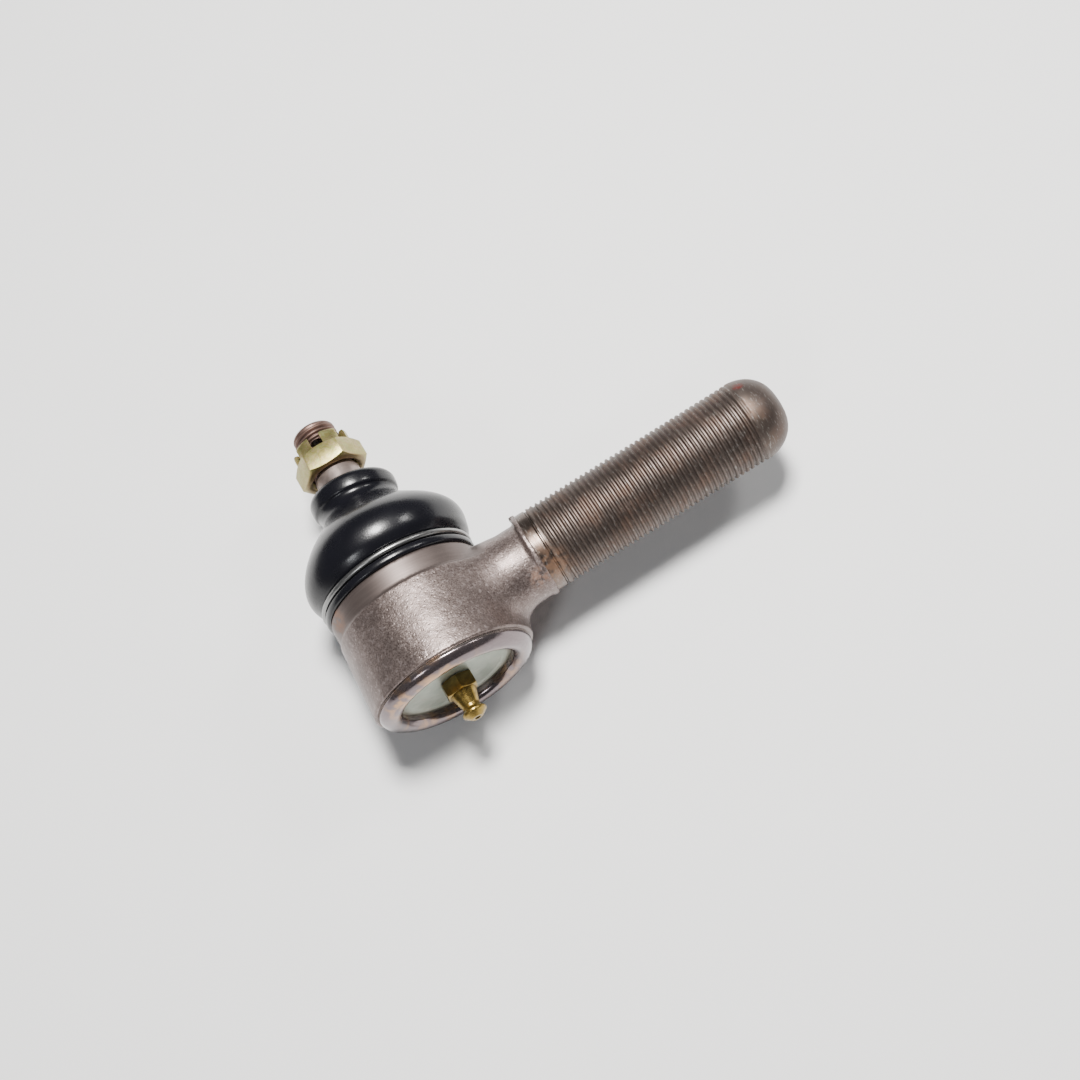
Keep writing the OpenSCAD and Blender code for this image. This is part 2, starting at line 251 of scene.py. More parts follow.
def smooth_curve(points, steps):
    """A smooth curve through points, with steps pieces in each stretch."""
    points = [np.array(p, float) for p in points]
    made = []
    for i in range(len(points) - 1):
        a, b = points[max(i - 1, 0)], points[i]
        c, d = points[i + 1], points[min(i + 2, len(points) - 1)]
        for k in range(steps):
            t = k / steps
            made.append(0.5 * (
                2 * b + (c - a) * t + (2 * a - 5 * b + 4 * c - d) * t * t
                + (3 * b - a - 3 * c + d) * t ** 3
            ))
    made.append(points[-1])
    return [tuple(p) for p in made]


def new_object(name, mesh):
    made = bpy.data.objects.new(name, mesh)
    bpy.context.scene.collection.objects.link(made)
    return made


def tidy_mesh(mesh, merge=1e-7):
    """Merges doubles and turns the faces of a closed mesh outwards."""
    work = bmesh.new()
    work.from_mesh(mesh)
    bmesh.ops.remove_doubles(work, verts=work.verts, dist=merge)
    bmesh.ops.dissolve_degenerate(work, edges=work.edges, dist=merge)
    bmesh.ops.recalc_face_normals(work, faces=work.faces)
    work.to_mesh(mesh)
    work.free()


def shade(piece, angle=30):
    """Smooth shading that keeps edges sharper than an angle."""
    piece.data.shade_smooth()
    piece.data.set_sharp_from_angle(angle=math.radians(angle))
    return piece


def ring_mesh(name, rings, closed):
    """A mesh from rings of points, whose last ring joins the first if it is closed."""
    count, sides = len(rings), len(rings[0])
    points = [tuple(c * MM for c in p) for ring in rings for p in ring]
    last = count if closed else count - 1
    faces = []
    for j in range(last):
        m = (j + 1) % count
        for i in range(sides):
            k = (i + 1) % sides
            faces.append((j * sides + i, j * sides + k, m * sides + k, m * sides + i))
    mesh = bpy.data.meshes.new(name)
    mesh.from_pydata(points, [], faces)
    tidy_mesh(mesh)
    return new_object(name, mesh)


def on_axis(axis, radius, height, angle):
    """A point at a radius, a height and an angle round the stud's or the shank's axis."""
    one, two = radius * math.cos(angle), radius * math.sin(angle)
    return (one, height, two) if axis == STUD else (height, one, two)


def lathe(name, outline, sides=128, axis=STUD, closed=False):
    """Turns an outline of (radius, height) points round an axis."""
    angles = [2 * math.pi * i / sides for i in range(sides)]
    rings = [[on_axis(axis, r, h, a) for a in angles] for r, h in outline]
    return shade(ring_mesh(name, rings, closed))


def prism(name, corner_radius, low, high, turn):
    """A hexagonal prism about the stud's axis."""
    rings = []
    for level, radius in ((low, 0), (low, corner_radius), (high, corner_radius), (high, 0)):
        rings.append([on_axis(STUD, radius, level, math.radians(60 * i) + turn) for i in range(6)])
    return ring_mesh(name, rings, False)


def slab(name, size, centre, turn):
    """A box of a size in millimetres, turned about the stud's axis."""
    work = bmesh.new()
    bmesh.ops.create_cube(work, size=1.0)
    place = (
        Matrix.Rotation(turn, 4, "Y") @ Matrix.Translation(Vector(centre) * MM)
        @ Matrix.Diagonal((*(Vector(size) * MM), 1))
    )
    bmesh.ops.transform(work, matrix=place, verts=work.verts)
    mesh = bpy.data.meshes.new(name)
    work.to_mesh(mesh)
    work.free()
    return new_object(name, mesh)


def settled(piece):
    """The piece with its modifiers turned into a plain mesh."""
    bpy.context.view_layer.update()
    evaluated = piece.evaluated_get(bpy.context.evaluated_depsgraph_get())
    mesh = bpy.data.meshes.new_from_object(evaluated)
    piece.modifiers.clear()
    old, piece.data = piece.data, mesh
    mesh.name = piece.name
    bpy.data.meshes.remove(old)
    return piece


def cut(piece, tool, operation="DIFFERENCE"):
    """Joins a tool to a piece, or takes it away, and removes the tool."""
    step = piece.modifiers.new("cut", "BOOLEAN")
    step.operation = operation
    step.solver = "EXACT"
    step.object = tool
    settled(piece)
    bpy.data.objects.remove(tool)
    return piece


def ease_edges(piece, width):
    """Rounds a piece's sharp edges by a width in millimetres."""
    step = piece.modifiers.new("edges", "BEVEL")
    step.width = width * MM
    step.segments = 2
    step.limit_method = "ANGLE"
    step.angle_limit = math.radians(28)
    step.harden_normals = False
    settled(piece)
    return shade(piece)


def coat(piece, material):
    """Gives a finished piece its material."""
    if not len(piece.data.polygons):
        raise RuntimeError(f"{piece.name} has no faces")
    piece.data.materials.clear()
    piece.data.materials.append(material)


def ready(piece, body, slot, material, *nodes):
    """Gives a finished piece its material and its body, and hides the nodes that it stands for. The
    slot is not used.
    """
    coat(piece, material)
    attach(piece, body)
    if nodes:
        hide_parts(*nodes)
    return piece


def ready_between(piece, material, node):
    """Finishes a piece: gives it its material, hides its node and bakes its transform into its
    mesh.
    """
    coat(piece, material)
    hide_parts(node)
    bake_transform(piece)
    return piece


# Geometry nodes


def run_tree(name, tree, **inputs):
    """An object whose mesh a geometry node tree makes from its inputs."""
    piece = new_object(name, bpy.data.meshes.new(name))
    step = piece.modifiers.new("tree", "NODES")
    step.node_group = tree
    sockets = {
        item.name: item.identifier for item in tree.interface.items_tree
        if item.item_type == "SOCKET" and item.in_out == "INPUT"
    }
    for label, value in inputs.items():
        step[sockets[label.replace("_", " ")]] = value
    return settled(piece)


def start_tree(name, inputs):
    """A geometry node tree with named inputs, given as (name, kind, default)."""
    tree = bpy.data.node_groups.new(name, "GeometryNodeTree")
    for label, kind, default in inputs:
        item = tree.interface.new_socket(label, in_out="INPUT", socket_type=f"NodeSocket{kind}")
        if default is not None:
            item.default_value = default
    tree.interface.new_socket("Mesh", in_out="OUTPUT", socket_type="NodeSocketGeometry")
    source = tree.nodes.new("NodeGroupInput")
    return tree, {label: Wire(tree, source.outputs[label]) for label, kind, default in inputs}


def end_tree(tree, mesh, material):
    """Realizes a tree's instances, sets its material and ends it."""
    real = mesh.node("GeometryNodeRealizeInstances", values={0: mesh})
    done = real.node("GeometryNodeSetMaterial", values={0: real, "Material": material})
    end = tree.nodes.new("NodeGroupOutput")
    tree.links.new(done.socket, end.inputs[0])
    return tree


def thread_tree():
    """A rod with a right-hand screw thread along +X, closed at both ends, with a rounded nose."""
    tree, given = start_tree("Threaded rod", (
        ("Radius", "Float", 0.011), ("Pitch", "Float", 0.0015), ("Depth", "Float", 0.0009),
        ("Start", "Float", 0.037), ("Tip", "Float", 0.106), ("Nose length", "Float", 0.0095),
        ("Nose radius", "Float", 0.003), ("Thread end", "Float", 0.0975),
        ("Rows per turn", "Int", 8), ("Sides", "Int", 96), ("Material", "Material", None),
    ))
    radius, pitch, start, tip = (given[k] for k in ("Radius", "Pitch", "Start", "Tip"))
    steps = given["Rows per turn"]
    step = pitch / steps
    rows = ((tip - start) / step).alone("CEIL") + steps + 3
    grid = radius.node("GeometryNodeMeshGrid", values={
        "Size X": 1.0, "Size Y": rows - 1, "Vertices X": given["Sides"] + 1, "Vertices Y": rows,
    })
    place = radius.node("GeometryNodeInputPosition")
    split = radius.node("ShaderNodeSeparateXYZ", values={0: place})
    turn = split + 0.5
    row = Wire(tree, split.socket.node.outputs[1]) + (rows - 1) * 0.5
    row = row.alone("ROUND")
    level = start + (row - 1 - steps) * step + turn * pitch
    along = level.most(start).least(tip)
    phase = ((along - start) / pitch - turn).alone("FRACT")
    flank = (phase - 0.5).alone("ABSOLUTE")
    groove = 1 - flank.rise(0.1, 0.44)
    run_in = ((along - start) / (pitch * 1.2)).least(1.0).most(0.0)
    run_out = ((given["Thread end"] - along) / (pitch * 1.5)).least(1.0).most(0.0)
    threaded = radius - groove * given["Depth"] * run_in * run_out
    nose = ((along - tip + given["Nose length"]) / given["Nose length"]).most(0.0).least(1.0)
    bow = (1 - nose * nose).alone("SQRT")
    envelope = given["Nose radius"] + (radius - given["Nose radius"]) * bow
    inner = row.maths("GREATER_THAN", row, 0.5) * row.maths("LESS_THAN", row, rows - 1.5)
    reach = threaded.least(envelope) * inner
    angle = turn * (2 * math.pi)
    cosine, sine = angle.alone("COSINE"), angle.alone("SINE")
    spot = reach.node("ShaderNodeCombineXYZ", values={0: along, 1: reach * cosine, 2: reach * sine})
    moved = grid.node("GeometryNodeSetPosition", values={"Geometry": grid, "Position": spot})
    closed = moved.node("GeometryNodeMergeByDistance", values={"Geometry": moved, "Distance": 2e-6})
    return end_tree(tree, closed, given["Material"])


def coil_tree():
    """A coil spring along +Z with round wire."""
    tree, given = start_tree("Coil spring", (
        ("Turns", "Float", 6.0), ("Coil radius", "Float", 0.0011), ("Wire radius", "Float", 0.0002),
        ("Height", "Float", 0.006), ("Material", "Material", None),
    ))
    turns = given["Turns"]
    coil = turns.node("GeometryNodeCurveSpiral", values={
        "Resolution": 24, "Rotations": turns, "Start Radius": given["Coil radius"],
        "End Radius": given["Coil radius"], "Height": given["Height"],
    })
    wire = turns.node("GeometryNodeCurvePrimitiveCircle", values={
        "Resolution": 10, "Radius": given["Wire radius"],
    })
    mesh = coil.node("GeometryNodeCurveToMesh", values={
        "Curve": coil, "Profile Curve": wire, "Fill Caps": True,
    })
    return end_tree(tree, mesh, given["Material"])


# Sizes


def length(name, description, default):
    return bpy.props.FloatProperty(
        name=name, description=description, default=default, unit="LENGTH", precision=5)


def angle(name, description, degrees):
    return bpy.props.FloatProperty(
        name=name, description=description, default=math.radians(degrees), subtype="ANGLE")


def tone(name, description, default):
    return bpy.props.FloatVectorProperty(
        name=name, description=description, default=default, size=3, subtype="COLOR",
        min=0, max=1)


class TieRodSizes(bpy.types.PropertyGroup):
    """Sizes of the pieces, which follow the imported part."""

    shank_diameter: length("Shank diameter", "Major diameter of the shank thread", 0.022)
    shank_pitch: length("Shank pitch", "Pitch of the shank thread", 0.0015)
    shank_thread_start: length(
        "Thread start", "Distance from the ball centre to the shank's thread", 0.0371)
    nose_length: length("Nose length", "Length of the shank's rounded nose", 0.0095)
    stud_diameter: length("Stud thread diameter", "Major diameter of the stud's thread", 0.012)
    stud_pitch: length("Stud pitch", "Pitch of the stud's thread", 0.00125)
    stud_turn: angle("Stud turn", "Turn of the cotter hole and the nut about the stud", 2)
    nut_flats: length("Nut flats", "Width of the castle nut across its flats", 0.017)
    boot_cock: angle("Boot cock", "Lean of the boot's lip towards the shank", 6)
    boot_shift: length("Boot shift", "How far the boot's lip has crept towards the shank", 0.0012)
    forging_voxel: length("Forging grid", "Mesh size of the forging", 0.00042)
    forging_roughness: length("Forging lumps", "Height of the forging's uneven skin", 0.00007)
    seed: bpy.props.IntProperty(
        name="Seed", description="Seed of the forging's uneven skin", default=7)


class TieRodFinishes(bpy.types.PropertyGroup):
    """Colours of the finishes."""

    forging: tone("Forged steel", "Colour of the forged skin", (0.225, 0.18, 0.166))
    thread: tone("Threaded steel", "Colour of the turned and threaded steel", (0.125, 0.1, 0.087))
    stud: tone("Stud steel", "Colour of the ball stud", (0.33, 0.27, 0.25))
    nut: tone("Yellow zinc", "Colour of the castle nut", (0.37, 0.315, 0.12))
    cover: tone("Zinc plate", "Colour of the end cover", (0.4, 0.42, 0.36))
    nipple: tone("Nipple zinc", "Colour of the grease nipple", (0.28, 0.19, 0.05))
    rubber: tone("Boot rubber", "Colour of the dust boot", (0.003, 0.003, 0.0045))


def sizes():
    return bpy.context.scene.tie_rod_sizes


def finishes():
    return bpy.context.scene.tie_rod_finishes


# Finishes


def times(colour, factor):
    """A colour multiplied by a number, or by a number for each channel."""
    factors = factor if isinstance(factor, tuple) else (factor,) * 3
    return tuple(c * k for c, k in zip(colour, factors))


def made_once(build):
    """Keeps the material that a function builds under the function's name, which no slot has."""
    def fetch():
        name = build.__name__
        return bpy.data.materials.get(name) or build(Finish(name))
    return fetch


@made_once
def forged_skin(f):
    """Grainy forged steel with a turned band under the boot, oil and rust stains."""
    base = tuple(finishes().forging)
    turned = f.y.rise(3.95, 4.25) * f.x.rise(24, 22)
    inside = f.around(STUD).rise(18.4, 18.0)
    rough_skin = (1 - turned) * (1 - inside)
    grain = f.grain(0.4, 3.0, 0.65)
    cloud = f.grain(7.0, 3.0, 0.55, 0.4)
    speck = f.grain(0.9, 2.0, 0.6)
    pit = f.pits(1.1).rise(0.12, 0.34)
    bright = speck.rise(0.52, 0.72)
    dark = times(base, (0.45, 0.4, 0.38))
    pale = times(base, (1.9, 1.98, 2.08))
    colour = cloud.rise(0.32, 0.68).tint(times(base, 0.78), times(base, 1.1))
    colour = (grain.rise(0.6, 0.34) * rough_skin * 0.75).tint(colour, dark)
    colour = (bright * rough_skin * 0.45).tint(colour, pale)
    lines = f.grain(0.5, 2.0, 0.5, stretch=(0.06, 1.0, 0.06))
    smooth_colour = lines.tint(times(base, 0.5), times(base, 0.76))
    colour = turned.tint(colour, smooth_colour)
    rust = (
        f.spot((-17.5, 8.5, 11.5), 3.6, 0.6) + f.spot((31.5, -8.5, 7.0), 2.6, 0.7)
        + f.grain(3.5, 4.0, 0.6, 0.5).rise(0.66, 0.8) * 0.6
    ).least(1.0) * f.grain(1.2, 3.0).rise(0.35, 0.6)
    colour = (rust * 0.45).tint(colour, (0.3, 0.14, 0.07))
    oil = f.grain(11.0, 2.0, 0.5).rise(0.5, 0.75)
    rough = 0.4 + rough_skin * (grain - 0.5) * 0.4 - oil * 0.08 + rust * 0.25 + turned * 0.04
    height = grain * 0.6 + pit * 0.4 + bright * 0.2
    normal = f.bump(height * rough_skin + lines * turned * 0.2, 0.075)
    return f.paint(colour, rough.most(0.2).least(0.9), Metallic=0.82 - rust * 0.6, Normal=normal)


@made_once
def rolled_steel(f):
    """Burnished steel of the rolled lip, dark and heat-tinted towards its inner edge, with a
    painted highlight on its outer rounding.
    """
    away = f.around(STUD)
    inner = away.rise(18.8, 16.6)
    burnish = f.y.rise(-16.9, -17.7)
    wander = f.grain(5.0, 3.0, 0.55, 0.6)
    patch = wander.rise(0.42, 0.62)
    swirl = f.grain(0.35, 2.0, 0.5, stretch=(0.25, 1.0, 0.25))
    # The pale tone on the outer rounding is a painted highlight; the darker burnished tone covers
    # the crest.
    outer_painted_highlight = swirl.tint((0.4, 0.36, 0.34), (0.56, 0.52, 0.49))
    dark = swirl.tint((0.15, 0.12, 0.13), (0.24, 0.2, 0.2))
    straw = patch.tint((0.3, 0.19, 0.12), (0.62, 0.36, 0.17))
    left = f.spot((-7.0, -19.5, 17.0), 12.0, 0.6)
    colour = burnish.tint(outer_painted_highlight, dark)
    colour = (inner * patch * 0.3 + left * 0.6 * patch).least(1.0).tint(colour, straw)
    rough = 0.3 - burnish * 0.1 + (swirl - 0.5) * 0.12 + (wander - 0.5) * 0.12
    normal = f.bump(swirl * 0.5 + f.grain(2.2, 2.0) * 0.9, 0.035)
    return f.paint(colour, rough.most(0.12), Metallic=0.92, Normal=normal)


@made_once
def turned_steel(f):
    """Turned and threaded steel with oily brown patches and painted shade in its thread roots."""
    base = tuple(finishes().thread)
    radius = sizes().shank_diameter / 2 / MM
    away = f.around(SHANK)
    crest = away.rise(radius - 0.75, radius - 0.1)
    threaded = f.x.rise(36.9, 37.6)
    cloud = f.grain(9.0, 3.0, 0.55, 0.3, stretch=(0.35, 1.0, 1.0))
    fine = f.grain(0.4, 3.0, 0.6, stretch=(1.0, 0.25, 0.25))
    brown = f.grain(6.0, 3.0, 0.6).rise(0.45, 0.7)
    colour = cloud.rise(0.3, 0.7).tint(times(base, (0.72, 0.7, 0.68)), times(base, 1.12))
    colour = (brown * 0.45).tint(colour, (0.2, 0.12, 0.085))
    colour = (fine.rise(0.55, 0.75) * 0.35).tint(colour, (0.62, 0.6, 0.57))
    # Painted shade: the thread roots are darkened towards near black.
    colour = ((1 - crest) * threaded * 0.45).tint(colour, (0.08, 0.06, 0.055))
    heat = f.spot((35.4, -7.5, 7.0), 4.4, 0.6) * f.grain(1.6, 3.0).rise(0.3, 0.6)
    colour = (heat * 0.4).tint(colour, (0.34, 0.17, 0.08))
    red = f.spot((98.5, 6.0, 9.2), 1.3, 0.5) * f.grain(0.7, 2.0).rise(0.3, 0.6)
    colour = (red * 0.7).tint(colour, (0.25, 0.02, 0.02))
    rough = 0.46 + (fine - 0.5) * 0.2 + brown * 0.1 - (1 - threaded) * 0.16
    normal = f.bump(fine, 0.03)
    return f.paint(colour, rough.most(0.15), Metallic=0.9 - heat * 0.4, Normal=normal)


@made_once
def stud_metal(f):
    """Dark hardened steel of the ball stud, polished on the ball."""
    base = tuple(finishes().stud)
    tip = f.y.rise(48.9, 49.6)
    ball = f.y.rise(13.0, 11.5)
    fine = f.grain(0.45, 3.0, 0.6, stretch=(0.4, 1.4, 0.4))
    cloud = f.grain(3.0, 3.0, 0.6, 0.4)
    colour = cloud.rise(0.3, 0.7).tint(times(base, 0.85), times(base, 1.35))
    colour = tip.tint(colour, cloud.tint((0.1, 0.06, 0.05), (0.25, 0.16, 0.13)))
    # Painted shade: the stud's thread roots are darkened.
    root_shade = f.around(STUD).rise(5.7, 5.3) * tip
    colour = (root_shade * 0.7).tint(colour, (0.03, 0.02, 0.018))
    colour = ball.tint(colour, (0.55, 0.54, 0.53))
    rough = 0.4 + (fine - 0.5) * 0.2 + tip * 0.06 - ball * 0.24
    return f.paint(colour, rough.most(0.08), Metallic=0.88, Normal=f.bump(fine * (1 - ball), 0.03))


@made_once
def yellow_plating(f):
    """Yellow passivated zinc, with olive clouds and a faint rainbow."""
    base = tuple(finishes().nut)
    cloud = f.grain(3.2, 3.0, 0.55, 0.6)
    film = f.grain(2.0, 2.0, 0.5, 1.2)
    fine = f.grain(0.3, 3.0, 0.6)
    colour = cloud.rise(0.3, 0.7).tint(times(base, (0.7, 0.72, 0.6)), base)
    colour = (film.band(0.52, 0.57, 0.03) * 0.3).tint(colour, (0.62, 0.42, 0.36))
    colour = (film.band(0.42, 0.46, 0.03) * 0.3).tint(colour, (0.42, 0.56, 0.3))
    scuff = fine.rise(0.62, 0.75) * cloud.rise(0.5, 0.7)
    colour = (scuff * 0.6).tint(colour, (0.75, 0.73, 0.6))
    # Painted shade: the nut's underside, facing the boot, is darkened.
    underside_shade = f.y.rise(49.5, 48.95)
    colour = (underside_shade * 0.75).tint(colour, (0.16, 0.1, 0.05))
    rough = 0.36 + (fine - 0.5) * 0.2 + (cloud - 0.5) * 0.12
    return f.paint(colour, rough.most(0.18), Metallic=0.85, Normal=f.bump(fine + film * 0.5, 0.02))


@made_once
def zinc_sheet(f):
    """Grey-green zinc plating on the pressed cover."""
    base = tuple(finishes().cover)
    cloud = f.grain(4.0, 3.0, 0.6, 0.4)
    fine = f.grain(0.35, 3.0, 0.6)
    # Painted shade: the cover darkens towards its rim, under the rolled lip.
    shaded_rim = f.around(STUD).rise(13.4, 15.6)
    colour = cloud.rise(0.3, 0.7).tint(times(base, (0.75, 0.8, 0.78)), base)
    colour = (f.grain(1.5, 3.0).rise(0.6, 0.75) * 0.4).tint(colour, (0.33, 0.27, 0.2))
    colour = (shaded_rim * 0.55).tint(colour, (0.16, 0.12, 0.09))
    rough = 0.42 + (fine - 0.5) * 0.2 + shaded_rim * 0.15
    return f.paint(colour, rough, Metallic=0.75, Normal=f.bump(fine + cloud, 0.03))


@made_once
def nipple_plating(f):
    """Yellow plating on the grease nipple, with painted shade darkening it towards its foot."""
    base = tuple(finishes().nipple)
    # Painted shade: the nipple darkens towards its foot on the cover.
    foot = f.y.rise(-22.2, -17.3)
    cloud = f.grain(1.6, 3.0, 0.6, 0.4)
    fine = f.grain(0.25, 3.0, 0.6)
    colour = cloud.rise(0.3, 0.7).tint(times(base, 0.62), times(base, 1.2))
    colour = (foot * 0.7).tint(colour, (0.13, 0.11, 0.05))
    rough = 0.28 + (fine - 0.5) * 0.2 + foot * 0.15
    return f.paint(colour, rough.most(0.12), Metallic=0.9, Normal=f.bump(fine + cloud * 0.6, 0.025))


@made_once
def glossy_rubber(f):
    """Glossy blue-black rubber with a fine moulded skin."""
    base = tuple(finishes().rubber)
    cloud = f.grain(9.0, 2.0, 0.5)
    fine = f.grain(0.5, 2.0, 0.5)
    dust = f.grain(0.5, 3.0, 0.7).rise(0.68, 0.8) * cloud.rise(0.45, 0.7)
    colour = cloud.tint(base, times(base, 1.8))
    colour = (dust * 0.5).tint(colour, (0.1, 0.09, 0.08))
    rough = 0.27 + (cloud - 0.5) * 0.14 + dust * 0.3 + (fine - 0.5) * 0.05
    return f.paint(
        colour, rough.most(0.1), Coat_Weight=0.14 - dust * 0.12,
        Coat_Roughness=0.12, Specular_IOR_Level=0.32,
        Normal=f.bump(fine * 0.4 + f.grain(5.0, 2.0), 0.05),
    )


@made_once
def ring_wire(f):
    """Drawn steel wire."""
    fine = f.grain(0.3, 3.0, 0.6, stretch=(0.3, 1.0, 0.3))
    colour = fine.tint((0.2, 0.2, 0.2), (0.34, 0.34, 0.33))
    return f.paint(colour, 0.22 + fine * 0.16, Metallic=0.95, Normal=f.bump(fine, 0.01))


@made_once
def spring_blue(f):
    """Tempered spring steel."""
    cloud = f.grain(2.0, 3.0, 0.6, 0.4)
    fine = f.grain(0.3, 3.0, 0.6)
    colour = cloud.rise(0.3, 0.7).tint((0.2, 0.21, 0.25), (0.4, 0.4, 0.42))
    return f.paint(colour, 0.3 + fine * 0.15, Metallic=0.92, Normal=f.bump(fine, 0.015))


@made_once
def bearing_acetal(f):
    """Natural acetal with a satin moulded skin and a film of grease."""
    cloud = f.grain(5.0, 3.0, 0.5, 0.3)
    fine = f.grain(0.3, 3.0, 0.6)
    colour = cloud.tint((0.5, 0.43, 0.32), (0.68, 0.62, 0.5))
    return f.paint(colour, 0.38 + (fine - 0.5) * 0.2 - cloud * 0.1, Normal=f.bump(fine, 0.02))


@made_once
def studio_paper(f):
    """Pale seamless paper."""
    colour = f.grain(40.0, 3.0, 0.5).tint((0.86, 0.86, 0.86), (0.9, 0.9, 0.9))
    return f.paint(colour, 0.75)


# The forging

# Levels of the forging in millimetres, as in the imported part
BODY_R = 22.4
BODY_TOP_R = 21.2
BAND_R = 20.8
BAND_LOW = 4.15
BAND_TOP = 10.35
LAND_R = 18.5
ROOF_TOP = 13.25
ROOF_IN = 8.55
BORE_R = 16.0
COVER_IN = -14.3
LIP_SPLIT = -16.9
COLLAR_R = 11.1
NECK_R = 11.25
NECK_DROP = 1
NECK_START = 17.0
NECK_END = 33.8
SEAT_R = 17.6
MOUTH_LOW_R = 10.15
MOUTH_TOP_R = 12.05
SOCKET_REACH = 23.4


def outline_distance(r, y, outline):
    """Signed distance of (radius, height) points from a closed outline, negative inside."""
    a = np.array(outline)
    b = np.roll(a, -1, axis=0)
    e = b - a
    px, py = r[:, None] - a[:, 0], y[:, None] - a[:, 1]
    t = np.clip((px * e[:, 0] + py * e[:, 1]) / (e ** 2).sum(1), 0, 1)
    near = ((px - e[:, 0] * t) ** 2 + (py - e[:, 1] * t) ** 2).min(1)
    rise = np.where(np.abs(e[:, 1]) < 1e-12, 1e-12, e[:, 1])
    crosses = ((a[:, 1] <= y[:, None]) != (b[:, 1] <= y[:, None])) & (px < py * e[:, 0] / rise)
    inside = crosses.sum(1) % 2 == 1
    return np.where(inside, -1, 1) * np.sqrt(near)


def soft_join(one, two, width):
    """The union of two distances, with a fillet."""
    h = np.clip(width - np.abs(one - two), 0, None) / width
    return np.minimum(one, two) - h * h * width / 4


def body_outline():
    """Outside of the socket, from its foot to its roof."""
    return rounded([
        (0, LIP_SPLIT), (BODY_R, LIP_SPLIT, 0.5),
        (BODY_TOP_R, BAND_LOW, 0.35), (BAND_R, BAND_LOW + 0.45, 0.3),
        (BAND_R, BAND_TOP, 0.4), (LAND_R, BAND_TOP, 0.4), (LAND_R, ROOF_TOP, 0.5), (0, ROOF_TOP),
    ], 4)


def cavity_outline():
    """Bearing bore, cover seat and the stud's mouth."""
    return rounded([
        (0, -18), (SEAT_R, -18), (SEAT_R, COVER_IN, 0.2), (BORE_R, COVER_IN, 0.3),
        (BORE_R, ROOF_IN, 0.4), (MOUTH_LOW_R, ROOF_IN, 0.4), (MOUTH_TOP_R, ROOF_TOP, 0.5),
        (12.6, 15), (0, 15),
    ], 4)


def forging_distance(p, body, cavity):
    """Signed distance of points, in millimetres, from the forging's skin."""
    x, y, z = p[:, 0], p[:, 1], p[:, 2]
    r = np.sqrt(x * x + z * z)
    socket = outline_distance(r, y, body)
    share = np.clip((x - NECK_START) / (NECK_END - NECK_START), 0, 1)
    waist = NECK_R - 1.05 * share - 0.35 * np.sin(np.pi * np.clip((x - 22) / 11, 0, 1))
    off = np.sqrt((y + NECK_DROP) ** 2 + z * z)
    neck = np.maximum(off - waist, np.maximum(x - NECK_END + 0.6, 14 - x))
    flare = np.clip((y - 1) / 8, 0, 1)
    width = 6.5 + (1.0 - 6.5) * flare * flare * (3 - 2 * flare)
    skin = soft_join(socket, neck, width)
    from_shank = np.sqrt(y * y + z * z)
    collar = np.maximum(from_shank - COLLAR_R, np.abs(x - NECK_END + 0.65) - 0.6)
    skin = soft_join(skin, collar, 1.1)
    lean = math.radians(14)
    burr = np.sqrt(
        ((x - 33.0) / 0.75) ** 2 + ((y - 11.3 * math.cos(lean)) / 1.3) ** 2
        + ((z - 11.3 * math.sin(lean)) / 2.2) ** 2
    ) - 1
    skin = soft_join(skin, burr * 0.9, 0.7)
    over = (r < SOCKET_REACH) & (socket > 0)
    skin = np.where(over, np.maximum(skin, y - BAND_TOP), skin)
    hollow = outline_distance(r, y, cavity)
    return np.maximum(skin, -hollow)


def settle_on_skin(mesh, steps, body, cavity):
    """Moves a mesh's points onto the forging's skin and returns their places in millimetres."""
    count = len(mesh.vertices)
    flat = np.empty(count * 3)
    mesh.vertices.foreach_get("co", flat)
    p = flat.reshape(-1, 3) / MM
    h = 0.02
    for _ in range(steps):
        d = forging_distance(p, body, cavity)
        slope = np.stack([
            (forging_distance(p + np.eye(3)[i] * h, body, cavity) - d) / h for i in range(3)
        ], axis=1)
        size = np.clip((slope ** 2).sum(1), 0.25, None)
        step = np.clip(d / size, -0.5, 0.5)
        p = p - slope * step[:, None]
    mesh.vertices.foreach_set("co", (p * MM).ravel())
    mesh.update()
    return p


def remeshed(piece, voxel):
    step = piece.modifiers.new("grid", "REMESH")
    step.mode = "VOXEL"
    step.voxel_size = voxel
    return settled(piece)


